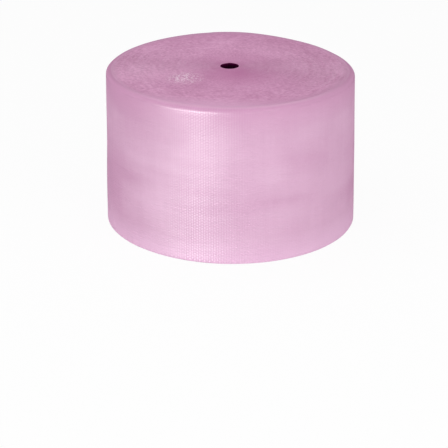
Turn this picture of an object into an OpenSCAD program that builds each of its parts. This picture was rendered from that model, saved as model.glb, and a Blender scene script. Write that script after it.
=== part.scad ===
// A roll of small-bubble cushioning film, wound without a core tube and standing on its end.

/* [Roll] */
// Diameter over the bubbles of the outermost turn, where the roll is round
roll_d = 965; // [400:1:1300]
// Width of the web, which is the height of the standing roll
web_w = 609.6; // [150:0.1:1300]
// Diameter of the hole that the winding mandrel leaves, once the film has closed on it a little
bore_d = 70; // [50:0.5:160]
// Thickness of one wound turn, with its bubbles pressed against the next turn
turn_t = 3.2; // [2.5:0.1:8]
// Direction in which the loose end of the outermost turn lies, seen from above
tail_angle = 100; // [0:5:355]

/* [Flattened side] */
// Depth to which the roll is pressed in on the side that it has lain on
flat_depth = 29; // [0:1:40]
// Direction of the middle of that side, seen from above
flat_angle = 42; // [0:1:359]
// Angle from the middle of that side to where the roll is nearly round again
flat_reach = 37; // [20:1:60]
// Number of ridges, from the outside in, that follow the flattened side
flat_ridges = 7; // [5:1:10]

/* [Rows of bubbles] */
// Distance between the rows of bubbles, which run across the web
row_pitch = 9.4; // [8.5:0.1:14]
// Height of a bubble over the film that carries it
bubble_h = 3.6; // [1:0.1:6]
// Width of the crest of a row, where its bubbles are highest
crest_w = 4.8; // [3:0.1:7]

/* [Cut edges] */
// Number of turns that each ridge of the cut edges stands for
turns_a_ridge = 4; // [4:1:8]
// Width of the groove between two ridges
groove_w = 3.4; // [1:0.1:6]
// Depth of that groove
groove_depth = 2.6; // [0.5:0.1:6]

/* [Hidden] */
$fn = 120;

film_colour = [0.87, 0.70, 0.82];
cut_margin = 5;
ring_step = 6;

// The film is wound as two half turns for each turn. The far half turns are centred
// half a pitch beside the near ones, so each runs on smoothly into the next, and the
// outermost turn ends in a step of one pitch.
bore_r = bore_d / 2;
turns = round((roll_d / 2 - bore_r) / turn_t - 1 / 2);
turn_pitch = (roll_d / 2 - bore_r) / (turns + 1 / 2);
outer_r = bore_r + turns * turn_pitch;

// The inner ridges are round. The outer ones share what is left, and take on the
// flattened side more and more towards the outside.
round_r = outer_r - flat_ridges * turns_a_ridge * turn_pitch;
inner_ridges = round((round_r - bore_r) / (turns_a_ridge * turn_pitch));
ridge_pitch = (round_r - bore_r) / inner_ridges;

// One row of bubbles: shares of the row's width, and heights against its crest.
rows_in_half = round(PI * outer_r / row_pitch);
crest_share = crest_w / row_pitch;
ROW = [[0, -bubble_h], [(1 - crest_share) / 2, 0], [(1 + crest_share) / 2, 0]];

// The loose end lies at 180 degrees while the film is drawn, and the whole roll is
// turned at the end.
drawn_turn = tail_angle - 180;
function pressed_in(angle) =
    let (off = (((angle + drawn_turn - flat_angle + 540) % 360) + 360) % 360 - 180)
    flat_depth * exp(-pow(abs(off) / flat_reach, 3));

function half_turn(radius, start_angle) = [
    for (row = [0 : rows_in_half - 1], point = ROW)
        let (angle = start_angle + (row + point.x) * 180 / rows_in_half)
        (radius - pressed_in(angle) + point.y) * [cos(angle), sin(angle)]
];

module outermost_turn_outline() {
    far_centre = [-turn_pitch / 2, 0];
    far_half = [for (point = half_turn(outer_r + turn_pitch / 2, 0)) point + far_centre];
    film_end = [-outer_r - turn_pitch + pressed_in(180), 0];
    polygon(concat(far_half, [film_end], half_turn(outer_r, 180)));
}

// A ring that lies a share of the way from the round ridges to the outermost turn.
module ring_outline(share, offset) {
    polygon([
        for (angle = [0 : ring_step : 360 - ring_step])
            (round_r + share * (outer_r - round_r - pressed_in(angle)) + offset)
                * [cos(angle), sin(angle)]
    ]);
}

module flattened_groove(share) {
    linear_extrude(groove_depth + cut_margin)
        difference() {
            ring_outline(share, groove_w / 2);
            ring_outline(share, -groove_w / 2);
        }
}

module groove() {
    polygon([
        [-groove_w / 2, -cut_margin],
        [groove_w / 2, -cut_margin],
        [groove_w / 2, 0],
        [0, groove_depth],
        [-groove_w / 2, 0]
    ]);
}

module inner_turns() {
    rotate_extrude()
        difference() {
            translate([bore_r, 0]) square([round_r - bore_r, web_w]);
            for (ridge = [1 : inner_ridges])
                translate([bore_r + ridge * ridge_pitch, 0]) {
                    groove();
                    translate([0, web_w]) mirror([0, 1]) groove();
                }
        }
}

module outer_turns() {
    difference() {
        linear_extrude(web_w)
            difference() {
                outermost_turn_outline();
                circle(r = round_r);
            }
        for (ridge = [1 : flat_ridges - 1]) {
            translate([0, 0, -cut_margin]) flattened_groove(ridge / flat_ridges);
            translate([0, 0, web_w - groove_depth]) flattened_groove(ridge / flat_ridges);
        }
    }
}

module wound_film() {
    color(film_colour)
        rotate([0, 0, drawn_turn]) {
            inner_turns();
            outer_turns();
        }
}

wound_film();
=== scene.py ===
"""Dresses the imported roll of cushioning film: its turns, its bubbles, its cut edges and its finish.

Everything is in metres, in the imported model's own frame: Z runs up the hole of the roll, and
the front of the roll faces -Y. Angles of the wound film are counted from its loose end.
"""

import logging
import math
from collections.abc import Callable
from dataclasses import dataclass
from enum import Enum
from functools import reduce

import bmesh
import bpy
import numpy as np
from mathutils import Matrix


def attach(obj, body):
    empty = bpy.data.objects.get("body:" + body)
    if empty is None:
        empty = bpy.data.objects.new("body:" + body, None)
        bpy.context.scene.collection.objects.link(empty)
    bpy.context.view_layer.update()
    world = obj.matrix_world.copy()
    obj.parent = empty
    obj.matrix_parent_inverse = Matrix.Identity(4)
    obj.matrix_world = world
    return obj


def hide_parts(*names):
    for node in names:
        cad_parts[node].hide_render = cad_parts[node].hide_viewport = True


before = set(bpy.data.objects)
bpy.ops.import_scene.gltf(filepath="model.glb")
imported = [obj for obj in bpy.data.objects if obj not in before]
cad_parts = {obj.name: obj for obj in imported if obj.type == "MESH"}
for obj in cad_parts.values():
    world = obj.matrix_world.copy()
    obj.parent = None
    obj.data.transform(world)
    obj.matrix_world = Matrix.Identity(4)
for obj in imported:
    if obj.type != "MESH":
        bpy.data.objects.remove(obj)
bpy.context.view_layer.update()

LOG = logging.getLogger("film_roll")
TURN = 2.0 * math.pi
MM = 0.001
BODY = "root"
CAD_NODE = "wound_film"
FILM_MAP = "film_map"
PAINTED_STREAKS = "haze"
PHOTO_PIXELS = 448
SENSOR_WIDTH = 36.0
WEB_WIDTH = 609.6 * MM
HOLE_RADIUS = 35.0 * MM
BUBBLE_ROWS = 322
WHITE = (1.0, 1.0, 1.0, 1.0)

ScreenColour = tuple[int, int, int]
Vector = tuple[float, float, float]
Socket = bpy.types.NodeSocket


class Zone(Enum):
    """Surfaces of the wound film, which each have their own finish."""

    SIDE = 0
    CUT_EDGES = 1
    HOLE = 2


class End(Enum):
    """The two ends of the roll, with the direction in which each faces."""

    UPPER = 1
    LOWER = -1


# --------------------------------------------------------------------------------------
# The form of the roll
# --------------------------------------------------------------------------------------


def nearest(angle: np.ndarray) -> np.ndarray:
    """Brings angles to within half a turn of zero."""
    return np.angle(np.exp(1j * angle))


@dataclass(frozen=True)
class Lobe:
    """A low wave round the outline of the roll.

    Attributes:
        count: Number of waves in one round.
        share: Height of a wave as a share of the roll's radius.
        peak: Direction of a crest, in degrees from +X.
    """

    count: int
    share: float
    peak: float


@dataclass(frozen=True)
class Swell:
    """A soft hill and valley on the roll's side.

    Attributes:
        around: Number of hills in one round.
        along: Number of hills in the height of the roll.
        rise: Height of a hill, in metres.
        start: Phase of the wave, in radians.
    """

    around: int
    along: float
    rise: float
    start: float


@dataclass(frozen=True)
class PaintedStreak:
    """A streak of painted light on the film of the side, or of painted shade where its strength is
    negative.

    Attributes:
        facing: Direction of its middle, in degrees to the right of the front.
        height: Height of its middle, in metres.
        reach: Half of its length round the roll, in metres.
        width: Half of its width, in metres.
        strength: How much paler painted light makes it, or how much deeper in tint painted shade
            makes it where it is negative.
    """

    facing: float
    height: float
    reach: float
    width: float
    strength: float


@dataclass(frozen=True)
class RollForm:
    """Sizes of the roll and the formulas of its surfaces.

    Attributes:
        radius: Radius over the bubbles, where the roll is round.
        height: Width of the web, which is the height of the standing roll.
        hole_radius: Radius of the hole.
        turns: Number of turns of film.
        bubble_rise: Height of a bubble over the film that carries it.
        tail_angle: Direction of the loose end from +X, in radians.
        lobes: Low waves round the outline.
        hollow_depth: Depth of the flattened side.
        hollow_angle: Direction of its middle from +X, in radians.
        hollow_half_width: Angle from its middle to where it is about a third as deep.
        flare: Growth of the radius from the upper to the lower end, as a share of it.
        crown: How far the upper end rises towards the hole.
        upper_shoulder: Mean radius of the round at the upper end.
        shoulder_change: Share by which that radius is more at the front and less at the back.
        lower_shoulder: Radius of the round at the lower end.
        swells: Soft hills and valleys of the side.
        streaks: Streaks of painted light and shade on the side.
    """

    radius: float = 482.5 * MM
    height: float = WEB_WIDTH
    hole_radius: float = HOLE_RADIUS
    turns: int = 139
    bubble_rise: float = 0.19 * MM
    tail_angle: float = math.radians(100.0)
    lobes: tuple[Lobe, ...] = (
        Lobe(1, 0.0142, 0.0),
        Lobe(2, -0.0046, 11.0),
        Lobe(3, -0.0035, 15.0),
        Lobe(4, 0.0046, 3.0),
    )
    hollow_depth: float = 29.0 * MM
    hollow_angle: float = math.radians(42.0)
    hollow_half_width: float = math.radians(37.0)
    flare: float = 0.0198
    crown: float = 6.0 * MM
    upper_shoulder: float = 16.0 * MM
    shoulder_change: float = 0.4
    lower_shoulder: float = 4.0 * MM
    swells: tuple[Swell, ...] = (
        Swell(5, 0.7, 0.8 * MM, 0.4),
        Swell(7, 1.3, 0.7 * MM, 2.1),
        Swell(11, 0.9, 0.5 * MM, 4.0),
        Swell(16, 2.1, 0.35 * MM, 1.2),
        Swell(23, 1.6, 0.25 * MM, 5.3),
    )
    # Painted light and shade: paler and darker streaks for slight sags in the film, the deepest on
    # the left side.
    streaks: tuple[PaintedStreak, ...] = (
        PaintedStreak(-40.0, 0.365, 0.13, 0.022, 0.7),
        PaintedStreak(-52.0, 0.275, 0.14, 0.03, -0.9),
        PaintedStreak(-67.0, 0.23, 0.12, 0.09, -1.4),
        PaintedStreak(-62.0, 0.56, 0.13, 0.05, -1.5),
        PaintedStreak(20.0, 0.340, 0.06, 0.036, 0.9),
        PaintedStreak(22.0, 0.238, 0.11, 0.024, -0.8),
        PaintedStreak(72.0, 0.18, 0.08, 0.06, -0.9),
        PaintedStreak(-8.0, 0.075, 0.2, 0.03, 0.5),
        PaintedStreak(66.0, 0.04, 0.12, 0.05, 0.8),
        PaintedStreak(118.0, 0.42, 0.16, 0.03, 0.6),
        PaintedStreak(150.0, 0.2, 0.14, 0.04, -0.7),
        PaintedStreak(-150.0, 0.33, 0.18, 0.03, 0.7),
        PaintedStreak(-112.0, 0.16, 0.12, 0.05, -0.6),
    )

    @property
    def film_radius(self) -> float:
        """Mean radius of the outermost film, under its bubbles."""
        return self.radius - self.bubble_rise

    @property
    def pitch(self) -> float:
        """Distance between two turns of film."""
        return (self.film_radius - self.hole_radius) / (self.turns - 0.5)

    def angle(self, wound: np.ndarray) -> np.ndarray:
        """Direction from +X at a share of a turn from the loose end."""
        return self.tail_angle + TURN * wound

    def outline(self, wound: np.ndarray) -> np.ndarray:
        """Mean radius of the outermost film in a direction.

        The radius is a circle's, times one plus the waves of the lobes, less a smooth hollow
        on the side where the roll has been pressed flat. The hollow is its depth times
        exp(-|d|^3), where d is the angle from its middle over its half width.

        Args:
            wound: Shares of a turn from the loose end.

        Returns:
            Radii in metres.
        """
        angle = self.angle(wound)
        waves = sum(
            lobe.share * np.cos(lobe.count * (angle - math.radians(lobe.peak)))
            for lobe in self.lobes
        )
        off = nearest(angle - self.hollow_angle) / self.hollow_half_width
        return self.film_radius * (1.0 + waves) - self.hollow_depth * np.exp(-np.abs(off) ** 3)

    def turn_radius(self, wound: np.ndarray, turn: np.ndarray) -> np.ndarray:
        """Radius of the wound film before the flare.

        The film is one spiral: with t turns wound, its radius is the hole's plus t pitches,
        and the outline's departure from a circle grows in with the square of t.

        Args:
            wound: Shares of a turn from the loose end's direction.
            turn: Whole turns from the hole.

        Returns:
            Radii in metres.
        """
        share = self.wound_share(wound, turn)
        round_part = self.hole_radius + share * (self.film_radius - self.hole_radius)
        return round_part + share**2 * (self.outline(wound) - self.film_radius)

    def wound_share(self, wound: np.ndarray, turn: np.ndarray) -> np.ndarray:
        """Turns wound so far as a share of all turns."""
        return (turn + wound) / (self.turns - 0.5)

    def swell(self, wound: np.ndarray, height: np.ndarray) -> np.ndarray:
        """Rise of the side's soft hills: the sum of their cosine waves."""
        level = height / self.height
        waves = [
            hill.rise * np.cos(hill.around * TURN * wound + hill.start)
            * np.cos(TURN * hill.along * level + 2.0 * hill.start)
            for hill in self.swells
        ]
        return np.sum(waves, axis=0)

    def point(
        self, wound: np.ndarray, turn: np.ndarray, height: np.ndarray, out: float = 0.0
    ) -> np.ndarray:
        """Place of a point of the wound film.

        The spiral's radius grows towards the lower end by the flare, and takes the side's
        swells, each in proportion to the square and the eighth power of the turns wound.

        Args:
            wound: Shares of a turn from the loose end's direction.
            turn: Whole turns from the hole.
            height: Heights over the lower end, in metres.
            out: Distance outwards from the film, in metres.

        Returns:
            An array of points, whose last axis is x, y and z.
        """
        share = self.wound_share(wound, turn)
        spread = 1.0 + self.flare * share**2 * (1.0 - height / self.height)
        hills = share**8 * self.swell(wound, height)
        radius = self.turn_radius(wound, turn) * spread + hills + out
        angle = self.angle(wound)
        parts = np.broadcast_arrays(radius * np.cos(angle), radius * np.sin(angle), height)
        return np.stack(parts, axis=-1)

    def place(self, wound: np.ndarray, height: np.ndarray) -> np.ndarray:
        """Place on the flat film: the way along the outermost turn, and the height."""
        along = TURN * self.film_radius * wound
        return np.stack(np.broadcast_arrays(along, height), axis=-1)

    def shoulder_radius(self, angle: np.ndarray, end: End) -> np.ndarray:
        """Radius of the round at the side of an end.

        The lower round is even. The upper one is widest at the front and narrowest at the
        back, and changes with the sine of the direction.

        Args:
            angle: Directions from +X, in radians.
            end: The end of the roll.

        Returns:
            Radii in metres.
        """
        if end is End.LOWER:
            return np.full(np.shape(angle), self.lower_shoulder)
        return self.upper_shoulder * (1.0 - self.shoulder_change * np.sin(angle))

    def shoulder_inset(self, angle: np.ndarray, height: np.ndarray) -> np.ndarray:
        """How far the film has turned in towards the axis at a height.

        It is zero up the side. In a shoulder it is r - sqrt(r^2 - d^2), where r is the
        shoulder's radius and d the height past the shoulder's start.

        Args:
            angle: Directions from +X, in radians.
            height: Heights over the lower end, in metres.

        Returns:
            Distances in metres.
        """
        upper = self.shoulder_radius(angle, End.UPPER)
        lower = self.shoulder_radius(angle, End.LOWER)
        past_upper = np.clip(height - (self.height - upper), 0.0, upper)
        past_lower = np.clip(lower - height, 0.0, lower)
        turned_in = upper - np.sqrt(upper**2 - past_upper**2)
        return turned_in + lower - np.sqrt(lower**2 - past_lower**2)

    def haze(self, places: np.ndarray) -> np.ndarray:
        """Painted light and shade of the streaks at places on the flat film.

        It is the sum of the streaks, each its strength times exp(-(a/reach)^2 - (h/width)^2),
        where a is the way round the roll from its middle and h the height over its middle.

        Args:
            places: Places along the web and across it, in metres, one row each.

        Returns:
            One number for each place, 0 where there is no streak.
        """
        front = self.tail_angle + places[:, 0] / self.film_radius + math.pi / 2.0
        total = np.zeros(len(places))
        for streak in self.streaks:
            off = nearest(front - math.radians(streak.facing)) * self.film_radius / streak.reach
            rise = (places[:, 1] - streak.height) / streak.width
            total += streak.strength * np.exp(-(off**2) - rise**2)
        return total

    def end_height(self, wound: np.ndarray, turn: np.ndarray, end: End) -> np.ndarray:
        """Height of the cut edges.

        The upper end rises to its crown at the hole with one minus the square of the turns
        wound, and both ends fall away in a quarter round at the side.

        Args:
            wound: Shares of a turn from the loose end's direction.
            turn: Whole turns from the hole.
            end: The end of the roll.

        Returns:
            Heights in metres.
        """
        shoulder = self.shoulder_radius(self.angle(wound), end)
        inwards = np.clip((self.turns - 1 - turn) * self.pitch, 0.0, shoulder)
        drop = shoulder - np.sqrt(shoulder**2 - (shoulder - inwards) ** 2)
        if end is End.LOWER:
            return drop
        return self.height + self.crown * (1.0 - self.wound_share(wound, turn) ** 2) - drop


# --------------------------------------------------------------------------------------
# Meshes
# --------------------------------------------------------------------------------------


@dataclass
class Patch:
    """A surface of four-cornered and three-cornered faces, before it is a mesh.

    Attributes:
        points: Corner points, one row each.
        places: Place of each point on the flat film, along the web and across it, in metres.
        quads: Four corner numbers a row.
        triangles: Three corner numbers a row.
        zone: The finish of the surface.
        smooth: True where the faces shade as one surface.
    """

    points: np.ndarray
    places: np.ndarray
    quads: np.ndarray
    triangles: np.ndarray
    zone: Zone
    smooth: bool = True


NO_TRIANGLES = np.empty((0, 3), dtype=np.int64)


def grid_quads(rows: int, columns: int) -> np.ndarray:
    """Faces of a grid whose points are numbered row by row.

    Args:
        rows: Number of rows of points.
        columns: Number of points in a row.

    Returns:
        Four corner numbers for each face.
    """
    numbers = np.arange(rows * columns).reshape(rows, columns)
    corners = [numbers[:-1, :-1], numbers[:-1, 1:], numbers[1:, 1:], numbers[1:, :-1]]
    return np.stack([corner.ravel() for corner in corners], axis=1)


def make_piece(
    name: str,
    patches: list[Patch],
    materials: list[bpy.types.Material],
    haze: Callable[[np.ndarray], np.ndarray] | None = None,
    weld: float = 0.0,
) -> bpy.types.Object:
    """Joins patches into one mesh object at the origin.

    Args:
        name: Name of the piece.
        patches: Surfaces that make up the piece.
        materials: Materials, in the order of the zones that the patches name.
        haze: Gives the painted light and shade of the streaks at places on the flat film, or None for
            no streaks.
        weld: Distance under which the points of two patches become one, or 0 for none.

    Returns:
        The new object, linked to the scene.
    """
    starts = np.cumsum([0] + [len(patch.points) for patch in patches])
    quads = np.concatenate([patch.quads + start for patch, start in zip(patches, starts)])
    triangles = np.concatenate(
        [patch.triangles + start for patch, start in zip(patches, starts)]
    )
    corners = np.concatenate([quads.ravel(), triangles.ravel()]).astype(np.int32)
    counts = np.concatenate([np.full(len(quads), 4), np.full(len(triangles), 3)])
    sizes = [len(patch.quads) for patch in patches] + [len(patch.triangles) for patch in patches]
    zones = np.repeat([patch.zone.value for patch in patches] * 2, sizes)
    smooth = np.repeat([patch.smooth for patch in patches] * 2, sizes)
    mesh = bpy.data.meshes.new(name)
    points = np.concatenate([patch.points for patch in patches])
    mesh.vertices.add(len(points))
    mesh.vertices.foreach_set("co", points.astype(np.float32).ravel())
    mesh.loops.add(len(corners))
    mesh.loops.foreach_set("vertex_index", corners)
    mesh.polygons.add(len(counts))
    mesh.polygons.foreach_set("loop_start", (np.cumsum(counts) - counts).astype(np.int32))
    mesh.polygons.foreach_set("material_index", zones.astype(np.int32))
    mesh.polygons.foreach_set("use_smooth", smooth.astype(bool))
    places = np.concatenate([patch.places for patch in patches])
    film_map = mesh.uv_layers.new(name=FILM_MAP)
    film_map.uv.foreach_set("vector", places[corners].astype(np.float32).ravel())
    if haze is not None:
        layer = mesh.attributes.new(PAINTED_STREAKS, "FLOAT", "POINT")
        layer.data.foreach_set("value", haze(places).astype(np.float32))
    for material in materials:
        mesh.materials.append(material)
    mesh.update(calc_edges=True)
    if weld > 0.0:
        weld_points(mesh, weld)
    piece = bpy.data.objects.new(name, mesh)
    bpy.context.scene.collection.objects.link(piece)
    return piece


def weld_points(mesh: bpy.types.Mesh, distance: float) -> None:
    """Makes one point of all points of a mesh that lie within a distance of each other."""
    shape = bmesh.new()
    shape.from_mesh(mesh)
    bmesh.ops.remove_doubles(shape, verts=shape.verts, dist=distance)
    shape.to_mesh(mesh)
    shape.free()


def smooth_noise(random: np.random.Generator, count: int, reach: int) -> np.ndarray:
    """A line of random numbers that changes slowly: white noise averaged over its neighbours.

    Args:
        random: Seeded source of numbers.
        count: How many numbers to give.
        reach: How many neighbours each number is averaged with.

    Returns:
        Numbers with a mean of about 0 and a spread of 1.
    """
    kernel = np.hanning(reach + 2)[1:-1]
    line = np.convolve(random.standard_normal(count + reach), kernel, mode="same")[:count]
    return line / np.sqrt(np.sum(kernel**2))


def mixed_noise(
    random: np.random.Generator, count: int, parts: tuple[tuple[float, int], ...]
) -> np.ndarray:
    """Sum of smooth noises, each given by its share and its reach."""
    return sum(share * smooth_noise(random, count, reach) for share, reach in parts)


# --------------------------------------------------------------------------------------
# The wound turns
# --------------------------------------------------------------------------------------


@dataclass
class WoundTurns:
    """The wound film as one closed shell: side, both ends, hole and the step at the loose end.

    Attributes:
        form: Sizes of the roll.
        columns: Number of steps in one turn.
        side_rows: Number of rows of points up the side.
        hole_rows: Number of rows of points down the hole.
        edge_depth: Depth of the gap between two cut edges.
        unevenness: How far single cut edges stand proud or low.
        roughness: Share and reach of each noise that makes up the unevenness.
        opening_turns: Number of turns over which the gaps deepen, from the hole outwards.
        folded_turns: Number of turns that are pressed over into the shoulder.
        fading_turns: Number of turns over which the gaps deepen, next to those.
        weld: Distance under which two points of the shell become one.
        seed: Seed of the uneven cut edges.
    """

    form: RollForm
    columns: int = 161
    side_rows: int = 34
    hole_rows: int = 26
    edge_depth: float = 0.9 * MM
    unevenness: float = 0.18 * MM
    roughness: tuple[tuple[float, int], ...] = ((0.6, 5), (0.8, 41))
    opening_turns: float = 2.0
    folded_turns: int = 6
    fading_turns: int = 4
    weld: float = 0.002 * MM
    seed: int = 11

    def end_patches(self, end: End) -> list[Patch]:
        """Cut edges of all turns at one end.

        Two lines run along the spiral: the cut edge of the film itself, and the bottom of
        the gap that its bubbles hold open, half a pitch further out. Faces join each edge
        to its gap, and each gap to the edge one turn on. The last few turns are pressed
        over into a smooth shoulder.

        Args:
            end: The end of the roll.

        Returns:
            The cut edges, and the shoulder.
        """
        form, columns = self.form, self.columns
        last = form.turns * columns
        edge_step = np.arange(last + 1)
        gap_step = np.arange(last - columns + 1)
        random = np.random.default_rng(self.seed + end.value)
        rough = self.rough_line(random, len(edge_step))
        edge, edge_place = self.spiral(edge_step, 0.0, end, 0.0, rough)
        rough = self.rough_line(random, len(gap_step))
        gap, gap_place = self.spiral(gap_step, 0.5, end, self.edge_depth, rough)
        inner = gap_step[:-1]
        gaps = inner + len(edge)
        first = np.stack([inner, gaps, gaps + 1, inner + 1], axis=1)
        second = np.stack([gaps, inner + columns, inner + columns + 1, gaps + 1], axis=1)
        quads = np.concatenate([first, second])
        start = np.array([[0, columns, len(edge)]])
        finish = np.array([[last - columns, len(edge) + last - columns, last]])
        if end is End.LOWER:
            quads, start, finish = quads[:, ::-1], start[:, ::-1], finish[:, ::-1]
        points = np.concatenate([edge, gap])
        places = np.concatenate([edge_place, gap_place])
        folded = np.tile(inner >= (form.turns - 1 - self.folded_turns) * columns, 2)
        return [
            Patch(points, places, quads[~folded], start, Zone.CUT_EDGES, smooth=False),
            Patch(points, places, quads[folded], finish, Zone.SIDE),
        ]

    def rough_line(self, random: np.random.Generator, count: int) -> np.ndarray:
        """Small ups and downs of one line of the spiral, in metres."""
        return self.unevenness * mixed_noise(random, count, self.roughness)

    def spiral(
        self, step: np.ndarray, out: float, end: End, depth: float, rough: np.ndarray
    ) -> tuple[np.ndarray, np.ndarray]:
        """Points of a line along the spiral at one end.

        Args:
            step: Number of each point, counted along the film from the hole.
            out: Distance of the line outwards from the film, in turns.
            end: The end of the roll.
            depth: Distance of the line under the cut edges.
            rough: Ups and downs of the line. They and the depth fade out at the hole and
                in the shoulder. At the lower end no edge stands past the floor.

        Returns:
            One point for each step, and its place on the flat film. There the shoulder's
            turns carry on from the side.
        """
        form = self.form
        whole = np.minimum(step // self.columns, form.turns - 1)
        wound = step / self.columns - whole
        turn = whole + out
        passed = turn + wound
        unfolded = form.turns - 1 - self.folded_turns - turn
        fade = np.minimum(passed / self.opening_turns, unfolded / self.fading_turns)
        fade = np.clip(fade, 0.0, 1.0)
        proudest = 0.0 if end is End.LOWER else -depth - self.unevenness * 3.0
        under = fade * np.maximum(depth - rough, proudest)
        height = form.end_height(wound, turn, end) - end.value * under
        inwards = (form.turns - 1 - turn) * form.pitch
        place = form.place(wound, height + end.value * inwards)
        return form.point(wound, turn, height), place

    def side_patch(self) -> Patch:
        """Film of the outermost turn, with the step at its loose end."""
        return self.wall(self.form.turns - 1, self.side_rows, Zone.SIDE, flip=False)

    def hole_patch(self) -> Patch:
        """Film of the innermost turn, which is the wall of the hole."""
        return self.wall(0, self.hole_rows, Zone.HOLE, flip=True)

    def wall(self, turn: int, rows: int, zone: Zone, flip: bool) -> Patch:
        """One turn of film from end to end of the roll.

        The rows of points divide the height between the two ends evenly. The last column
        lies one pitch outside the first, and a strip of faces joins them as the film's step.

        Args:
            turn: Number of the turn, counted from the hole.
            rows: Number of rows of points.
            zone: Finish of the film.
            flip: True where the film faces the axis.

        Returns:
            The surface of the turn.
        """
        form, columns = self.form, self.columns
        wound = np.arange(columns + 1) / columns
        low = form.end_height(wound, float(turn), End.LOWER)
        high = form.end_height(wound, float(turn), End.UPPER)
        level = np.linspace(0.0, 1.0, rows)[:, None]
        height = low + level * (high - low)
        points = form.point(wound, float(turn), height).reshape(-1, 3)
        quads = grid_quads(rows, columns + 1)
        row = np.arange(rows - 1) * (columns + 1)
        step = np.stack([row + columns, row, row + columns + 1, row + 2 * columns + 1], axis=1)
        quads = np.concatenate([quads, step])
        places = form.place(wound, height).reshape(-1, 2)
        return Patch(points, places, quads[:, ::-1] if flip else quads, NO_TRIANGLES, zone)

    def build(self, materials: list[bpy.types.Material]) -> bpy.types.Object:
        """Makes the closed shell.

        Args:
            materials: Finishes of the side, the cut edges and the hole.

        Returns:
            The piece.
        """
        ends = [*self.end_patches(End.UPPER), *self.end_patches(End.LOWER)]
        patches = [self.side_patch(), *ends, self.hole_patch()]
        return make_piece("wound_turns", patches, materials, self.form.haze, self.weld)


# --------------------------------------------------------------------------------------
# The bubbles
# --------------------------------------------------------------------------------------


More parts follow.
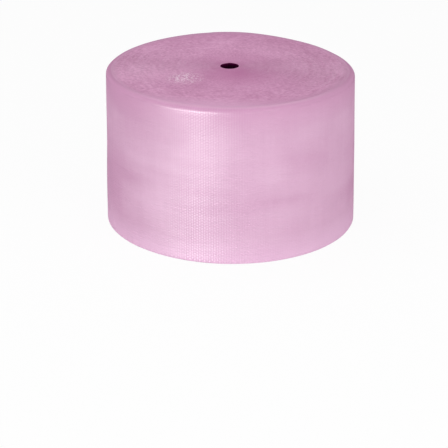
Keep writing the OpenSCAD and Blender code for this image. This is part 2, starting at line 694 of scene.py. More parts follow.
@dataclass
class Bubbles:
    """The air bubbles of the outermost turn, in rows across the web.

    Attributes:
        form: Sizes of the roll.
        rows: Number of rows in the turn.
        spacing: Distance between the bubbles of a row.
        width: Diameter of a bubble at its foot.
        margin: Clear film at each edge of the web.
        sides: Number of corners round a bubble.
        sectors: Number of pieces that share the bubbles.
        profile: Rings of a bubble: share of its radius, and share of its height.
        slackness: How much lower than the fullest the slackest bubble is, as a share.
        lean: How far bubbles lean, as a share of their height.
        seed: Seed of the differences between bubbles.
    """

    form: RollForm
    rows: int = BUBBLE_ROWS
    spacing: float = 10.85 * MM
    width: float = 9.5 * MM
    margin: float = 4.0 * MM
    sides: int = 10
    sectors: int = 6
    profile: tuple[tuple[float, float], ...] = ((0.62, 0.7), (1.0, -0.08))
    slackness: float = 0.22
    lean: float = 0.06
    seed: int = 29

    def centres(self) -> tuple[np.ndarray, np.ndarray]:
        """Places of the bubbles on the film.

        Rows are evenly spaced in the turn. Bubbles are evenly spaced in a row, and every
        other row is moved by half a space.

        Returns:
            Shares of a turn and heights, one of each for a bubble.
        """
        count = int((self.form.height - 2.0 * self.margin) / self.spacing)
        row, number = np.meshgrid(np.arange(self.rows), np.arange(count), indexing="ij")
        first = (self.form.height - (count - 0.5) * self.spacing) / 2.0
        height = first + (number + 0.5 * (row % 2)) * self.spacing
        wound = (row + 0.5) / self.rows
        return wound.ravel(), height.ravel()

    def domes(self, wound: np.ndarray, height: np.ndarray, random: np.random.Generator) -> Patch:
        """Closed domes over the film.

        A dome is a top point and two rings. A ring's point is the bubble's centre, plus
        the ring's radius along the film, plus the ring's height along the film's outward
        normal. The normal is the cross product of the film's two directions, from its own
        formula. Flat faces under the film close the dome. They stand on a copy of the
        lowest ring, so that the dome is shaded by its own faces alone.

        Args:
            wound: Shares of a turn of the bubbles' centres.
            height: Heights of the bubbles' centres.
            random: Seeded source of the bubbles' differences.

        Returns:
            The surface of all the domes.
        """
        form, small = self.form, 1.0e-4
        turn = float(form.turns - 1)
        centre = form.point(wound, turn, height)
        around = form.point(wound + small, turn, height) - form.point(wound - small, turn, height)
        around /= np.linalg.norm(around, axis=1, keepdims=True)
        up = form.point(wound, turn, height + small) - form.point(wound, turn, height - small)
        up /= np.linalg.norm(up, axis=1, keepdims=True)
        outward = np.cross(around, up)

        count, rise = len(wound), form.bubble_rise
        fill = 1.0 - self.slackness * random.random(count) ** 2
        lean = self.lean * random.standard_normal((count, 2))
        spin = TURN * random.random((count, 1)) / self.sides
        corner = TURN * np.arange(self.sides) / self.sides + spin
        rings = [centre[:, None] + rise * fill[:, None, None] * outward[:, None]]
        middle = form.place(wound, height)[:, None]
        places = [middle]
        for share, level in self.profile:
            reach = share * self.width / 2.0
            sideways = reach * np.cos(corner) + level * rise * lean[:, :1]
            upwards = reach * np.sin(corner) + level * rise * lean[:, 1:]
            lift = (level * rise * fill)[:, None, None]
            rings.append(
                centre[:, None]
                + sideways[..., None] * around[:, None]
                + upwards[..., None] * up[:, None]
                + lift * outward[:, None]
            )
            places.append(middle + np.stack([sideways, upwards], axis=-1))
        points = np.concatenate([*rings, rings[-1]], axis=1)
        angle = np.arctan2(points[..., 1], points[..., 0])
        inset = form.shoulder_inset(angle, points[..., 2])
        inset /= np.hypot(points[..., 0], points[..., 1])
        points[..., :2] *= 1.0 - inset[..., None]
        quads, triangles = self.dome_faces()
        starts = (np.arange(count) * points.shape[1])[:, None, None]
        return Patch(
            points.reshape(-1, 3),
            np.concatenate([*places, places[-1]], axis=1).reshape(-1, 2),
            (quads + starts).reshape(-1, 4),
            (triangles + starts).reshape(-1, 3),
            Zone.SIDE,
        )

    def dome_faces(self) -> tuple[np.ndarray, np.ndarray]:
        """Faces of one dome: a fan on top, bands between the rings, and a fan underneath."""
        corner = np.arange(self.sides)
        following = (corner + 1) % self.sides
        ring = [1 + number * self.sides for number in range(len(self.profile))]
        bands = [
            np.stack([upper + corner, lower + corner, lower + following, upper + following], axis=1)
            for upper, lower in zip(ring[:-1], ring[1:])
        ]
        top = np.stack([np.zeros_like(corner), ring[0] + corner, ring[0] + following], axis=1)
        inside = corner[1:-1]
        under = ring[-1] + self.sides
        foot = np.stack([np.full_like(inside, under), under + inside + 1, under + inside], axis=1)
        return np.concatenate(bands), np.concatenate([top, foot])

    def build(self, material: bpy.types.Material) -> list[bpy.types.Object]:
        """Makes the bubbles, in one piece for each sector of the turn.

        Args:
            material: Finish of the bubbles.

        Returns:
            The pieces.
        """
        random = np.random.default_rng(self.seed)
        wound, height = self.centres()
        sector = np.floor(wound * self.sectors).astype(int)
        pieces = []
        for number in range(self.sectors):
            here = sector == number
            domes = self.domes(wound[here], height[here], random)
            pieces.append(make_piece(f"bubbles_{number + 1}", [domes], [material], self.form.haze))
        return pieces


# --------------------------------------------------------------------------------------
# The loose end
# --------------------------------------------------------------------------------------


@dataclass
class LooseEnd:
    """Flat margin of film past the last row of bubbles, where the web was cut.

    Attributes:
        form: Sizes of the roll.
        reach: Length of the margin past the step.
        overlap: Length of the margin that lies on the outermost turn.
        thickness: Thickness of the film with its backing.
        clearance: Distance from the outermost turn to the margin's back, where it starts.
        lift: How far the cut end rises again.
        sinking: How far the margin sinks to the turn under it, in pitches.
        sinking_start: Share of the margin at which it begins to sink.
        sinking_length: Share of the margin over which it sinks.
        waver: How far the cut runs out of line.
        waver_noise: Share and reach of each noise of the cut's line.
        flutter_noise: The same for the differences in lift.
        across: Number of points across the margin.
        rows: Number of points up the web.
        seed: Seed of the wavering cut.
    """

    form: RollForm
    reach: float = 16.0 * MM
    overlap: float = 4.0 * MM
    thickness: float = 0.5 * MM
    clearance: float = 0.6 * MM
    lift: float = 0.7 * MM
    sinking: float = 0.9
    sinking_start: float = 0.2
    sinking_length: float = 0.5
    waver: float = 1.6 * MM
    waver_noise: tuple[tuple[float, int], ...] = ((0.8, 25), (0.25, 5))
    flutter_noise: tuple[tuple[float, int], ...] = ((0.5, 31),)
    across: int = 12
    rows: int = 150
    seed: int = 47

    def build(self, material: bpy.types.Material) -> bpy.types.Object:
        """Makes the margin as a thin closed strip.

        One parameter runs up the web and the other past the step. The strip starts on the
        outermost turn and sinks most of a pitch, along a smooth step, to the turn under it.
        Towards the cut it rises by the lift times the square of the way there. The same
        grid, moved inwards by the thickness, is its back, and four bands close its edges.

        Args:
            material: Finish of the film.

        Returns:
            The piece.
        """
        form, turn = self.form, float(self.form.turns - 1)
        random = np.random.default_rng(self.seed)
        highest = form.height - form.upper_shoulder
        height = np.linspace(form.lower_shoulder, highest, self.rows)[:, None]
        way = np.linspace(0.0, 1.0, self.across)[None, :]
        cut = self.reach + self.waver * mixed_noise(random, self.rows, self.waver_noise)[:, None]
        start = -self.overlap
        wound = 1.0 + (start + (cut - start) * way) / (TURN * form.radius)
        flutter = 1.0 + mixed_noise(random, self.rows, self.flutter_noise)[:, None]
        down = np.clip((way - self.sinking_start) / self.sinking_length, 0.0, 1.0)
        sunk = self.sinking * form.pitch * down**2 * (3.0 - 2.0 * down)
        out = self.thickness + self.clearance + self.lift * flutter * way**2 - sunk
        outer = form.point(wound, turn, height, out)
        inner = form.point(wound, turn, height, out - self.thickness)
        places = form.place(wound, height)
        return make_piece("loose_end", [closed_strip(outer, inner, places)], [material], form.haze)


def closed_strip(front: np.ndarray, back: np.ndarray, places: np.ndarray) -> Patch:
    """A thin sheet from its front and back grids, with bands round its edges.

    Args:
        front: Grid of points of the front, rows by columns by three.
        back: The same for the back.
        places: The grid's places on the flat film.

    Returns:
        The closed surface, with the front's faces outwards.
    """
    rows, columns = front.shape[:2]
    faces = grid_quads(rows, columns)
    size = rows * columns
    numbers = np.arange(size).reshape(rows, columns)
    rim = np.concatenate(
        [numbers[0, :-1], numbers[:-1, -1], numbers[-1, :0:-1], numbers[:0:-1, 0]]
    )
    onward = np.roll(rim, -1)
    band = np.stack([rim, rim + size, onward + size, onward], axis=1)
    quads = np.concatenate([faces, faces[:, ::-1] + size, band])
    points = np.concatenate([front.reshape(-1, 3), back.reshape(-1, 3)])
    flat = places.reshape(-1, 2)
    return Patch(points, np.concatenate([flat, flat]), quads, NO_TRIANGLES, Zone.SIDE)


# --------------------------------------------------------------------------------------
# Finishes
# --------------------------------------------------------------------------------------

def linear(colour: ScreenColour) -> tuple[float, float, float, float]:
    """Turns a screen colour of 0 to 255 into the linear colour that a shader reads.

    Each channel c is ((c + 0.055) / 1.055) to the power 2.4, or c / 12.92 where it is dark.

    Args:
        colour: Red, green and blue on the screen.

    Returns:
        Linear red, green, blue and an alpha of 1.
    """
    channels = [value / 255.0 for value in colour]
    bent = [c / 12.92 if c <= 0.04045 else ((c + 0.055) / 1.055) ** 2.4 for c in channels]
    return bent[0], bent[1], bent[2], 1.0


class Nodes:
    """Adds nodes to a node tree and links them."""

    def __init__(self, tree: bpy.types.NodeTree) -> None:
        """Keeps the tree that the nodes go into."""
        self.tree = tree

    def add(
        self, kind: str, inputs: dict[str | int, object] | None = None, **settings: object
    ) -> bpy.types.Node:
        """Adds a node.

        Args:
            kind: Blender's name of the node type.
            inputs: For each input's name or number, an output socket to link or a value.
            settings: Properties of the node itself.

        Returns:
            The new node.
        """
        node = self.tree.nodes.new(kind)
        for name, value in settings.items():
            setattr(node, name, value)
        for key, value in (inputs or {}).items():
            if isinstance(value, Socket):
                self.tree.links.new(value, node.inputs[key])
            else:
                node.inputs[key].default_value = value
        return node

    def math(self, operation: str, first: object, second: object = 0.0) -> Socket:
        """Adds a Math node and gives its output."""
        return self.add("ShaderNodeMath", {0: first, 1: second}, operation=operation).outputs[0]

    def noise(self, place: Socket, waves: object, detail: float = 2.0) -> Socket:
        """Adds a Noise Texture of so many waves a metre and gives its output from 0 to 1."""
        inputs = {"Vector": place, "Scale": waves, "Detail": detail}
        return self.add("ShaderNodeTexNoise", inputs).outputs["Fac"]

    def spread(
        self, value: Socket, low: object, high: object, start: float = 0.3, stop: float = 0.7
    ) -> Socket:
        """Adds a Map Range node that takes start to low and stop to high."""
        inputs = {"Value": value, "From Min": start, "From Max": stop, "To Min": low, "To Max": high}
        return self.add("ShaderNodeMapRange", inputs).outputs["Result"]

    def mix(self, share: object, first: object, second: object) -> Socket:
        """Adds a Mix node for colours and gives its result."""
        inputs = {0: share, 6: first, 7: second}
        return self.add("ShaderNodeMix", inputs, data_type="RGBA").outputs[2]

    def total(self, *parts: tuple[Socket, float]) -> Socket:
        """Adds up outputs, each times its share."""
        scaled = [self.math("MULTIPLY", value, share) for value, share in parts]
        return reduce(lambda first, second: self.math("ADD", first, second), scaled)

    def product(self, *parts: Socket) -> Socket:
        """Multiplies outputs with each other."""
        return reduce(lambda first, second: self.math("MULTIPLY", first, second), parts)

    def place(self) -> Socket:
        """Gives the place on the object, in metres."""
        return self.add("ShaderNodeTexCoord").outputs["Object"]

    def film_place(self) -> Socket:
        """Gives the place on the flat film, in metres along the web and across it."""
        return self.add("ShaderNodeUVMap", uv_map=FILM_MAP).outputs[0]

    def part(self, vector: Socket, number: int) -> Socket:
        """Gives one part of a vector: 0 for x, 1 for y or 2 for z."""
        return self.add("ShaderNodeSeparateXYZ", {0: vector}).outputs[number]

    def drawn_out(self, vector: Socket, scale: Vector) -> Socket:
        """Gives a place that is scaled, so that a noise on it is drawn out."""
        return self.add("ShaderNodeMapping", {"Vector": vector, "Scale": scale}).outputs[0]

    def vector(self, operation: str, first: Socket, second: object = (0.0, 0.0, 0.0)) -> Socket:
        """Adds a Vector Math node and gives its vector, or its number where it has one."""
        node = self.add("ShaderNodeVectorMath", {0: first, 1: second}, operation=operation)
        has_number = operation in ("DISTANCE", "DOT_PRODUCT", "LENGTH")
        return node.outputs["Value" if has_number else "Vector"]

    def level(self, place: Socket) -> Socket:
        """Gives the level part of a place, with its height set to 0."""
        parts = {0: self.part(place, 0), 1: self.part(place, 1)}
        return self.add("ShaderNodeCombineXYZ", parts).outputs[0]


def new_group(
    name: str, takes: dict[str, tuple[str, object]], gives: dict[str, str]
) -> tuple[bpy.types.NodeTree, Nodes]:
    """Makes an empty node group with named sockets.

    Args:
        name: Name of the group.
        takes: Type and default of each input.
        gives: Type of each output.

    Returns:
        The group's tree, and a helper that adds nodes to it.
    """
    tree = bpy.data.node_groups.new(name, "ShaderNodeTree")
    for label, (kind, default) in takes.items():
        socket = tree.interface.new_socket(name=label, in_out="INPUT", socket_type=kind)
        socket.default_value = default
    for label, kind in gives.items():
        tree.interface.new_socket(name=label, in_out="OUTPUT", socket_type=kind)
    return tree, Nodes(tree)


FLOAT, COLOUR, VECTOR = "NodeSocketFloat", "NodeSocketColor", "NodeSocketVector"


def tinted_film_group() -> bpy.types.NodeTree:
    """Tint of the film: cloudy patches, streaks, painted light and shade, and bubble-sized mottling.

    The colour goes from the deep to the pale tint by a sum, each part times its share:
    broad patches, the painted light and shade of the streaks that the points carry, haze
    drawn out along the web, streaks drawn out along Z, and mottling. The height is wrinkles
    that run round the roll, where the film is taut, ten times as long as they are wide, plus
    a fine crinkle. The gloss is drawn out like the wrinkles, is less where the points carry
    painted shade, and goes up and down from row to row on the clear side.

    Returns:
        The node group.
    """
    tree, nodes = new_group(
        "tinted_film",
        {
            "Pale Tint": (COLOUR, WHITE),
            "Deep Tint": (COLOUR, WHITE),
            "Patches a Metre": (FLOAT, 3.0),
            "Smoothest": (FLOAT, 0.3),
            "Roughest": (FLOAT, 0.5),
            "Row Pitch": (FLOAT, 0.01),
            "Clear Side": (VECTOR, (0.0, -1.0, 0.0)),
        },
        {"Colour": COLOUR, "Roughness": FLOAT, "Gloss": FLOAT, "Height": FLOAT},
    )
    given = nodes.add("NodeGroupInput").outputs
    place, film = nodes.place(), nodes.film_place()
    patches = nodes.noise(place, given["Patches a Metre"], detail=3.0)
    # Painted light and shade: the streaks that the points carry.
    painted_streaks = nodes.add("ShaderNodeAttribute", attribute_name=PAINTED_STREAKS).outputs["Fac"]
    haze = nodes.noise(nodes.drawn_out(film, (0.3, 1.0, 1.0)), waves=7.0)
    streaks = nodes.noise(nodes.drawn_out(place, (1.0, 1.0, 0.12)), waves=42.0)
    mottle = nodes.noise(place, waves=150.0, detail=1.0)
    share = nodes.total(
        (patches, 0.42), (painted_streaks, 0.17), (haze, 0.33), (streaks, 0.12), (mottle, 0.13)
    )
    pale = nodes.spread(share, 0.0, 1.0, start=0.34, stop=0.64)
    colour = nodes.mix(pale, given["Deep Tint"], given["Pale Tint"])
    roughness = nodes.spread(mottle, given["Smoothest"], given["Roughest"])
    drawn_round = nodes.drawn_out(film, (0.1, 1.0, 1.0))
    wrinkles = nodes.noise(drawn_round, waves=140.0)
    crinkle = nodes.noise(place, waves=420.0, detail=3.0)
    height = nodes.total((wrinkles, 1.0), (crinkle, 0.12))
    rows = nodes.math("DIVIDE", nodes.part(film, 0), given["Row Pitch"])
    wave = nodes.math("COSINE", nodes.math("MULTIPLY", nodes.math("SUBTRACT", rows, 0.5), TURN))
    outward = nodes.vector("NORMALIZE", nodes.level(place))
    towards = nodes.vector("DOT_PRODUCT", outward, given["Clear Side"])
    wave = nodes.product(wave, nodes.spread(towards, 0.1, 1.0, start=0.93, stop=0.99))
    gloss = nodes.product(
        nodes.spread(nodes.noise(drawn_round, waves=30.0), 0.7, 1.0),
        nodes.spread(painted_streaks, 0.85, 1.0, start=-1.0, stop=1.0),
        nodes.spread(wave, 0.2, 1.2, start=-1.0, stop=1.0),
    )
    gives = {"Colour": colour, "Roughness": roughness, "Gloss": gloss, "Height": height}
    nodes.add("NodeGroupOutput", gives)
    return tree


def cut_edges_group() -> bpy.types.NodeTree:
    """Look of the cut edges: turns of slightly different tone, crumpled film, painted glints and
    painted light and shade.

    The colour goes from the gap's to the edge's tint by a sum, each part times its share:
    a noise that changes quickly away from the axis and slowly round it, so that it follows
    the turns, then clouds, and a crumple at the size of a bubble. It is deeper in the deep
    patch and round the hole, and painted shade deepens it towards the back. At the rim it
    takes the rim's tint, which painted light makes paler and wider at the front. Painted
    glints, which are highlights, are where a fine noise peaks, in the glint patch alone.

    Returns:
        The node group.
    """
    tints = ("Edge Tint", "Gap Tint", "Glint Tint", "Hole And Back Shade Tint", "Rim Tint", "Front Painted Light Tint")
    spots = ("Front Light Place", "Deep Patch", "Glint Patch")
    tree, nodes = new_group(
        "cut_edges",
        {
            **{tint: (COLOUR, WHITE) for tint in tints},
            **{spot: (VECTOR, (0.0, 0.0, 0.0)) for spot in spots},
            "Glints": (FLOAT, 0.5),
            "Hole Radius": (FLOAT, HOLE_RADIUS),
            "Rim Radius": (FLOAT, 0.48),
            "Patch Reach": (FLOAT, 0.08),
        },
        {"Colour": COLOUR, "Roughness": FLOAT, "Height": FLOAT},
    )
    given = nodes.add("NodeGroupInput").outputs
    place = nodes.place()
    flat = nodes.level(place)
    distance = nodes.vector("LENGTH", flat)
    round_part = nodes.vector("MULTIPLY", nodes.vector("NORMALIZE", flat), (0.25, 0.25, 0.25))
    outward_part = nodes.add("ShaderNodeCombineXYZ", {2: distance}).outputs[0]
    turns = nodes.noise(nodes.vector("ADD", round_part, outward_part), waves=95.0)
    clouds = nodes.noise(place, waves=5.0, detail=3.0)
    crumple = nodes.noise(place, waves=130.0, detail=3.0)
    share = nodes.total((turns, 0.42), (clouds, 0.35), (crumple, 0.23))
    pale = nodes.spread(share, 0.0, 1.0, start=0.36, stop=0.62)
    colour = nodes.mix(pale, given["Gap Tint"], given["Edge Tint"])

    # Painted shade: deeper in tint towards the back.
    painted_back_shade = nodes.spread(nodes.part(place, 1), 0.0, 0.35, start=0.25, stop=0.47)
    to_deep = nodes.vector("DISTANCE", place, given["Deep Patch"])
    deep = nodes.spread(to_deep, 1.0, 0.0, start=0.0, stop=0.4)
    from_hole = nodes.math("SUBTRACT", distance, given["Hole Radius"])
    near_hole = nodes.spread(from_hole, 0.6, 0.0, start=0.0, stop=0.045)
    for deeper in (painted_back_shade, nodes.product(deep, deep), near_hole):
        colour = nodes.mix(deeper, colour, given["Hole And Back Shade Tint"])

    # Painted light: the rim's tint is paler, and reaches further in, towards the front.
    to_front_light = nodes.vector("DISTANCE", place, given["Front Light Place"])
    front = nodes.spread(to_front_light, 1.0, 0.0, start=0.08, stop=0.36)
    rim_tint = nodes.mix(front, given["Rim Tint"], given["Front Painted Light Tint"])
    reach = nodes.spread(front, 0.035, 0.1, start=0.0, stop=1.0)
    to_rim = nodes.math("SUBTRACT", given["Rim Radius"], distance)
    near_rim = nodes.spread(nodes.math("DIVIDE", to_rim, reach), 1.0, 0.0, start=0.0, stop=1.0)
    colour = nodes.mix(near_rim, colour, rim_tint)

    # Painted glints: pale highlights where a fine noise peaks, inside the glint patch.
    apart = nodes.vector("DISTANCE", place, given["Glint Patch"])
    way_out = nodes.math("DIVIDE", apart, given["Patch Reach"])
    field = nodes.spread(way_out, 1.0, 0.0, start=0.35, stop=1.0)
    sparkle = nodes.noise(place, waves=170.0, detail=0.0)
    peak = nodes.spread(sparkle, 0.0, 1.0, start=0.55, stop=0.68)
    colour = nodes.mix(nodes.product(peak, field, given["Glints"]), colour, given["Glint Tint"])
    roughness = nodes.spread(crumple, 0.42, 0.68)
    nodes.add("NodeGroupOutput", {"Colour": colour, "Roughness": roughness, "Height": crumple})
    return tree


@dataclass(frozen=True)
class FilmFinish:
    """Pale pink film with a soft sheen.

    Attributes:
        name: Name of the material.
        pale: Tint where the film is thin, in screen colour.
        deep: Tint where more layers show through, in screen colour.
        patches: Cloudy patches a metre.
        smoothest: Roughness of the glossiest film.
        roughest: Roughness of the most matt film.
        row_radius: Radius at which the sheen's rows are counted, within 0.2 mm of the film's.
        clear_side: Direction of the side on which the rows show most.
        upper_tint: Tint at the upper cut edge, in screen colour.
        upper_reach: Distance over which the upper tint gives way.
        folded_tint: Tint where the film is folded over into the cut edges.
        folded_front_painted_light: The same at the front, paler with painted light, in screen colour.
        folded_reach: Width of the folded film.
        shoulder_reach: Distance over which the sheen fades towards the upper cut edge.
        front_light_fade: Places along Y between which the front's painted light gives way.
        lower_painted_light: Painted light at the lower cut edge, a paler tint for light thrown up
            from the floor, in screen colour.
        lower_share: How much of that tint there is at the edge itself.
        lower_reach: Distance over which the lower painted light gives way.
        width: Width of the web.
        bump: Height of the wrinkles, in metres.
        facing: How far the film turns from the eye where its sheen begins to fade, and
            where it has gone.
        upper_sheen: Share of the sheen that the height leaves at the upper cut edge.
        shoulder_sheen: Share of it that the shoulder leaves there.
        sheen_roughness: Roughness of the sheen.
        sheen_strength: Refractive index of the sheen, which sets how much it mirrors.
    """

    name: str = "pink_film"
    pale: ScreenColour = (217, 174, 202)
    deep: ScreenColour = (204, 156, 187)
    patches: float = 4.0
    smoothest: float = 0.4
    roughest: float = 0.6
    row_radius: float = 482.15 * MM
    clear_side: Vector = (-0.174, -0.985, 0.0)
    upper_tint: ScreenColour = (203, 150, 184)
    upper_reach: float = 110.0 * MM
    folded_tint: ScreenColour = (196, 144, 177)
    folded_front_painted_light: ScreenColour = (213, 164, 195)
    folded_reach: float = 12.0 * MM
    shoulder_reach: float = 28.0 * MM
    front_light_fade: tuple[float, float] = (-0.42, -0.15)
    lower_painted_light: ScreenColour = (230, 188, 217)
    lower_share: float = 0.9
    lower_reach: float = 100.0 * MM
    width: float = WEB_WIDTH
    bump: float = 1.7 * MM
    facing: tuple[float, float] = (0.2, 0.75)
    upper_sheen: float = 0.5
    shoulder_sheen: float = 0.6
    sheen_roughness: float = 0.4
    sheen_strength: float = 2.0

    def build(self, group: bpy.types.NodeTree) -> bpy.types.Material:
        """Makes the material round the film group.

        Args:
            group: The node group of the film's tint.

        Returns:
            The material.
        """
        material, nodes, shader = new_material(self.name)
        inputs = {
            "Pale Tint": linear(self.pale),
            "Deep Tint": linear(self.deep),
            "Patches a Metre": self.patches,
            "Smoothest": self.smoothest,
            "Roughest": self.roughest,
            "Row Pitch": TURN * self.row_radius / BUBBLE_ROWS,
            "Clear Side": self.clear_side,
        }
        film = nodes.add("ShaderNodeGroup", inputs, node_tree=group)
        dress(nodes, shader, film, self.bump)
        shader.inputs["Specular IOR Level"].default_value = 0.0
        shader.inputs["Coat Roughness"].default_value = self.sheen_roughness
        shader.inputs["Coat IOR"].default_value = self.sheen_strength

        top = self.width
        across = nodes.part(nodes.film_place(), 1)
        upper = nodes.spread(across, 0.0, 1.0, top - self.upper_reach, top)
        folded = nodes.spread(across, 0.0, 1.0, top, top + self.folded_reach)
        # Painted light: paler towards the lower end, for light thrown up from the floor.
        lower = nodes.spread(across, self.lower_share, 0.0, 0.0, self.lower_reach)
        # Painted light: the folded film is paler towards the front.
        front = nodes.spread(nodes.part(nodes.place(), 1), 1.0, 0.0, *self.front_light_fade)
        folded_tint = nodes.mix(front, linear(self.folded_tint), linear(self.folded_front_painted_light))
        tint = nodes.mix(upper, film.outputs["Colour"], linear(self.upper_tint))
        tint = nodes.mix(folded, tint, folded_tint)
        tint = nodes.mix(lower, tint, linear(self.lower_painted_light))
        nodes.tree.links.new(tint, shader.inputs["Base Color"])

        turned_away = nodes.add("ShaderNodeLayerWeight", {"Blend": 0.5}).outputs["Facing"]
        sheen = nodes.product(
            nodes.spread(turned_away, 1.0, 0.0, *self.facing),
            nodes.spread(across, 1.0, self.upper_sheen, 0.0, top),
            film.outputs["Gloss"],
            nodes.spread(across, 1.0, self.shoulder_sheen, top - self.shoulder_reach, top),
        )
        nodes.tree.links.new(sheen, shader.inputs["Coat Weight"])
        return material


@dataclass(frozen=True)
class CutEdgeFinish:
    """Cut edges of many turns of film: darker and more matt than the side.

    Attributes:
        name: Name of the material.
        edge: Tint of the film's own edge, in screen colour.
        gap: Tint between the turns, in screen colour.
        glint: Tint of the painted glints, which are painted highlights, in screen colour.
        near_hole: Tint round the hole, and painted shade towards the back, in screen colour.
        near_rim: Tint next to the film that is folded over, in screen colour.
        front_rim_painted_light: The same at the front, paler with painted light, in screen colour.
        front_light_place: Middle of the painted light on the front edge.
        deep_patch: Middle of the deeper tint round the hole.
        glints: Strength of the painted glints.
        hole_radius: Radius of the hole, round which the edges are deeper in tint.
        rim_radius: Radius at which the edges meet the film that is folded over.
        glint_patch: Middle of the patch that holds the painted glints.
        patch_reach: Radius of that patch.
        bump: Height of the crumpled film, in metres.
        gloss: How much the edges mirror, where 0.5 is plain plastic.
    """

    name: str = "cut_film_edges"
    edge: ScreenColour = (221, 168, 202)
    gap: ScreenColour = (190, 133, 168)
    glint: ScreenColour = (246, 230, 240)
    near_hole: ScreenColour = (185, 120, 161)
    near_rim: ScreenColour = (195, 143, 176)
    front_rim_painted_light: ScreenColour = (212, 163, 195)
    front_light_place: Vector = (-0.07, -0.48, 0.6)
    deep_patch: Vector = (0.03, -0.08, 0.615)
    glints: float = 0.8
    hole_radius: float = HOLE_RADIUS
    rim_radius: float = 464.0 * MM
    glint_patch: Vector = (-0.168, -0.145, 0.612)
    patch_reach: float = 0.085
    bump: float = 0.8 * MM
    gloss: float = 0.2

    def build(self, group: bpy.types.NodeTree) -> bpy.types.Material:
        """Makes the material round the cut edge group.

        Args:
            group: The node group of the cut edges' look.

        Returns:
            The material.
        """
        material, nodes, shader = new_material(self.name)
        inputs = {
            "Edge Tint": linear(self.edge),
            "Gap Tint": linear(self.gap),
            "Glint Tint": linear(self.glint),
            "Hole And Back Shade Tint": linear(self.near_hole),
            "Rim Tint": linear(self.near_rim),
            "Front Painted Light Tint": linear(self.front_rim_painted_light),
            "Front Light Place": self.front_light_place,
            "Deep Patch": self.deep_patch,
            "Glint Patch": self.glint_patch,
            "Glints": self.glints,
            "Hole Radius": self.hole_radius,
            "Rim Radius": self.rim_radius,
            "Patch Reach": self.patch_reach,
        }
        edges = nodes.add("ShaderNodeGroup", inputs, node_tree=group)
        dress(nodes, shader, edges, self.bump)
        shader.inputs["Specular IOR Level"].default_value = self.gloss
        return material


@dataclass(frozen=True)
class HoleShadeFinish:
    """Wall of the hole: painted shade that turns the film dark plum just under its rim, for the
    hole's unlit inside.

    Attributes:
        name: Name of the material.
        rim: Tint at the upper rim, already dark with painted shade, in screen colour.
        deepening: The rim's deepest tint as a share of that one.
        deep: Painted shade inside, in screen colour.
        patches: Cloudy patches a metre.
        smoothest: Roughness of the glossiest film.
        roughest: Roughness of the most matt film.
        top: Height of the rim, in metres.
        fade: Depth over which the rim's tint gives way.
        bump: Height of the fine crinkle, in metres.
    """

    name: str = "hole_wall_painted_shade"
    rim: ScreenColour = (100, 10, 70)
    deepening: float = 0.85
    deep: ScreenColour = (46, 0, 33)
    patches: float = 30.0
    smoothest: float = 0.5
    roughest: float = 0.7
    top: float = 0.6156
    fade: float = 9.0 * MM
    bump: float = 0.3 * MM

    def build(self, group: bpy.types.NodeTree) -> bpy.types.Material:
        """Makes the material, whose painted shade darkens with the depth under the rim.

        Args:
            group: The node group of the film's tint.

        Returns:
            The material.
        """
        material, nodes, shader = new_material(self.name)
        red, green, blue = (round(value * self.deepening) for value in self.rim)
        inputs = {
            "Pale Tint": linear(self.rim),
            "Deep Tint": linear((red, green, blue)),
            "Patches a Metre": self.patches,
            "Smoothest": self.smoothest,
            "Roughest": self.roughest,
        }
        film = nodes.add("ShaderNodeGroup", inputs, node_tree=group)
        dress(nodes, shader, film, self.bump)
        # Painted shade: the wall darkens with the depth under the rim.
        height = nodes.part(nodes.place(), 2)
        depth = nodes.spread(height, 1.0, 0.0, self.top - self.fade, self.top)
        tint = nodes.mix(depth, film.outputs["Colour"], linear(self.deep))
        nodes.tree.links.new(tint, shader.inputs["Base Color"])
        shader.inputs["Specular IOR Level"].default_value = 0.0
        return material


def node_of(tree: bpy.types.NodeTree, kind: str) -> bpy.types.Node:
    """Finds the first node of a kind in a tree."""
    return next(node for node in tree.nodes if node.type == kind)


def new_material(name: str) -> tuple[bpy.types.Material, Nodes, bpy.types.Node]:
    """Makes a material with one Principled shader.

    Args:
        name: Name of the material.

    Returns:
        The material, a helper that adds nodes to it, and its shader.
    """
    material = bpy.data.materials.new(name)
    material.use_nodes = True
    tree = material.node_tree
    return material, Nodes(tree), node_of(tree, "BSDF_PRINCIPLED")


def dress(nodes: Nodes, shader: bpy.types.Node, group: bpy.types.Node, bump: float) -> None:
    """Links a finish group's colour, roughness and height to a shader.

    Args:
        nodes: Helper of the material.
        shader: The Principled shader.
        group: The placed group.
        bump: Height of the relief that the group's Height stands for, in metres.
    """
    links = nodes.tree.links
    links.new(group.outputs["Colour"], shader.inputs["Base Color"])
    links.new(group.outputs["Roughness"], shader.inputs["Roughness"])
    inputs = {"Height": group.outputs["Height"], "Distance": bump, "Strength": 1.0}
    relief = nodes.add("ShaderNodeBump", inputs)
    links.new(relief.outputs["Normal"], shader.inputs["Normal"])


# --------------------------------------------------------------------------------------
# Studio
# --------------------------------------------------------------------------------------


def stand(
    thing: bpy.types.Object, azimuth: float, distance: float, height: float, aim: float
) -> None:
    """Links a lamp or camera to the scene, where it faces a point on the roll's axis.

    Args:
        thing: The lamp or camera.
        azimuth: Its direction from the roll, in degrees to the right of the front.
        distance: Its level distance from the axis, in metres.
        height: Its height, in metres.
        aim: Height of the point that it faces, in metres.
    """
    turn = math.radians(azimuth)
    drop = math.atan2(height - aim, distance)
    thing.location = (distance * math.sin(turn), -distance * math.cos(turn), height)
    thing.rotation_euler = (math.pi / 2.0 - drop, 0.0, turn)
    bpy.context.scene.collection.objects.link(thing)


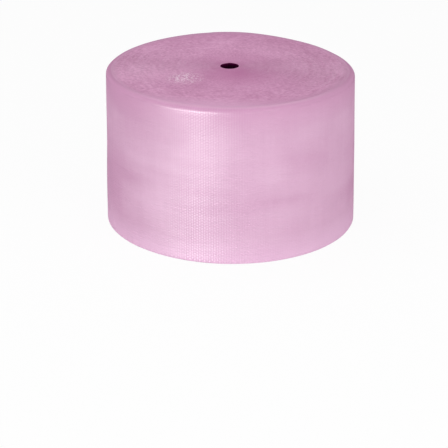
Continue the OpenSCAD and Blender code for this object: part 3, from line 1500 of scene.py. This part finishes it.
@dataclass(frozen=True)
class SoftBox:
    """A rectangular lamp that faces a point on the roll's axis.

    Attributes:
        name: Name of the lamp.
        azimuth: Direction from the roll, in degrees to the right of the camera.
        distance: Distance from the axis, in metres.
        height: Height of its centre, in metres.
        width: Width, in metres.
        tall: Height of its window, in metres.
        power: Power in watts.
        aim: Height of the point that it faces, in metres.
        sheen_only: True for a strip that only shows as a reflection.
    """

    name: str
    azimuth: float
    distance: float
    height: float
    width: float
    tall: float
    power: float
    aim: float = 0.35
    sheen_only: bool = False

    def build(self) -> None:
        """Makes the lamp."""
        lamp = bpy.data.lights.new(self.name, "AREA")
        lamp.shape = "RECTANGLE"
        lamp.size, lamp.size_y, lamp.energy = self.width, self.tall, self.power
        holder = bpy.data.objects.new(self.name, lamp)
        holder.visible_diffuse = not self.sheen_only
        stand(holder, self.azimuth, self.distance, self.height, self.aim)


@dataclass(frozen=True)
class Studio:
    """Camera, lamps, world and floor round the roll.

    Attributes:
        camera_distance: Level distance of the camera from the axis, in metres.
        camera_height: Height of the camera, in metres.
        aim_height: Height on the axis to which the camera's axis points, in metres.
        focal_pixels: Focal length in pixels of the photo's frame.
        centre: Where the camera's axis meets the frame, in pixels from the upper left.
        world_light: Strength of the world as it lights matt surfaces.
        floor_glow: Share of the floor that the camera sees as plain white.
        floor_grey: Lightness of the floor as a matt surface, from 0 to 1.
        floor_roughness: Its roughness.
        floor_gloss: How much it mirrors, where 0.5 is plain plastic.
        floor_side: Side of the square floor, in metres.
        floor_points: Number of points along that side.
        floor_drop: How far the floor lies under the roll.
        view_reach: Greatest distance that the camera sees, in metres.
        lamps: The softboxes.
    """

    camera_distance: float = 6.0
    camera_height: float = 2.548
    aim_height: float = 0.2756
    focal_pixels: float = 1625.9
    centre: tuple[float, float] = (229.3, 148.0)
    world_light: float = 0.62
    floor_glow: float = 0.93
    floor_grey: float = 0.92
    floor_roughness: float = 0.9
    floor_gloss: float = 0.1
    floor_side: float = 40.0
    floor_points: int = 9
    floor_drop: float = 0.3 * MM
    view_reach: float = 200.0
    lamps: tuple[SoftBox, ...] = (
        SoftBox("key_softbox", -33.0, 4.2, 0.8, 0.6, 1.6, 30.0),
        SoftBox("front_sheen_panel", -28.0, 8.0, 0.6, 2.6, 1.1, 850.0, sheen_only=True),
        SoftBox("side_sheen_panel", -48.0, 8.0, 0.6, 4.6, 1.1, 620.0, sheen_only=True),
        SoftBox("fill_softbox", 36.0, 4.5, 1.6, 2.6, 2.6, 56.0),
        SoftBox("overhead_softbox", -80.0, 1.1, 3.2, 2.0, 2.0, 17.0, 0.6),
    )

    def camera(self) -> None:
        """Makes the camera at the photo's viewing angle and makes it the scene's.

        The lens is the focal length in pixels, scaled from the frame to the sensor. The
        shifts are the distance of the camera axis from the middle of the frame.
        """
        data = bpy.data.cameras.new("photo_camera")
        data.sensor_width = SENSOR_WIDTH
        data.lens = SENSOR_WIDTH * self.focal_pixels / PHOTO_PIXELS
        middle = PHOTO_PIXELS / 2.0
        data.shift_x = -(self.centre[0] - middle) / PHOTO_PIXELS
        data.shift_y = (self.centre[1] - middle) / PHOTO_PIXELS
        data.clip_end = self.view_reach
        camera = bpy.data.objects.new("photo_camera", data)
        stand(camera, 0.0, self.camera_distance, self.camera_height, self.aim_height)
        bpy.context.scene.camera = camera

    def world(self) -> None:
        """Makes a world that is white to the eye and in reflections, and softer as light."""
        world = bpy.data.worlds.new("white_room")
        world.use_nodes = True
        nodes = Nodes(world.node_tree)
        strength = nodes.spread(self.seen_rays(nodes), self.world_light, 1.0, 0.0, 1.0)
        background = node_of(world.node_tree, "BACKGROUND")
        background.inputs["Color"].default_value = WHITE
        world.node_tree.links.new(strength, background.inputs["Strength"])
        bpy.context.scene.world = world

    @staticmethod
    def seen_rays(nodes: Nodes) -> Socket:
        """Mask of camera rays, glossy rays and transmitted rays."""
        path = nodes.add("ShaderNodeLightPath").outputs
        mirrored = nodes.math("MAXIMUM", path["Is Glossy Ray"], path["Is Transmission Ray"])
        return nodes.math("MAXIMUM", path["Is Camera Ray"], mirrored)

    def floor(self) -> None:
        """Makes the white floor, which keeps the roll's shadow."""
        material, nodes, shader = new_material("white_floor")
        grey = self.floor_grey
        shader.inputs["Base Color"].default_value = (grey, grey, grey, 1.0)
        shader.inputs["Roughness"].default_value = self.floor_roughness
        shader.inputs["Specular IOR Level"].default_value = self.floor_gloss
        glow = nodes.add("ShaderNodeEmission", {"Color": WHITE, "Strength": 1.0}).outputs[0]
        share = nodes.math("MULTIPLY", self.seen_rays(nodes), self.floor_glow)
        blend = nodes.add("ShaderNodeMixShader", {0: share, 1: shader.outputs[0], 2: glow})
        output = node_of(nodes.tree, "OUTPUT_MATERIAL")
        nodes.tree.links.new(blend.outputs[0], output.inputs["Surface"])
        half, count = self.floor_side / 2.0, self.floor_points
        line = np.linspace(-half, half, count)
        across, along = (part.ravel() for part in np.meshgrid(line, line))
        points = np.stack([across, along, np.full(across.size, -self.floor_drop)], axis=1)
        patch = Patch(points, points[:, :2], grid_quads(count, count), NO_TRIANGLES, Zone.SIDE)
        floor = make_piece("studio_floor", [patch], [material])

    def build(self) -> None:
        """Makes the whole studio."""
        self.camera()
        self.world()
        self.floor()
        for lamp in self.lamps:
            lamp.build()
        bpy.context.scene.view_settings.view_transform = "Standard"


# --------------------------------------------------------------------------------------
# The whole roll
# --------------------------------------------------------------------------------------


@dataclass
class FilmRoll:
    """The roll with all its pieces and finishes.

    Attributes:
        form: Sizes of the roll.
    """

    form: RollForm

    def build(self) -> None:
        """Makes every piece, puts it on the roll's body and hides the plain solid."""
        tint = tinted_film_group()
        side = FilmFinish().build(tint)
        edges = CutEdgeFinish().build(cut_edges_group())
        hole = HoleShadeFinish().build(tint)
        turns = WoundTurns(self.form).build([side, edges, hole])
        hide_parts(CAD_NODE)
        pieces = [turns, *Bubbles(self.form).build(side), LooseEnd(self.form).build(side)]
        for piece in pieces:
            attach(piece, BODY)
            report(piece)


def report(piece: bpy.types.Object) -> None:
    """Logs a piece's name and how many triangles it has."""
    counts = np.empty(len(piece.data.polygons), dtype=np.int32)
    piece.data.polygons.foreach_get("loop_total", counts)
    LOG.info("%s: %d triangles", piece.name, int((counts - 2).sum()))


def main() -> None:
    """Builds the roll and the studio."""
    logging.basicConfig(level=logging.INFO, format="%(name)s: %(message)s")
    FilmRoll(RollForm()).build()
    Studio().build()


if __name__ == "__main__":
    main()
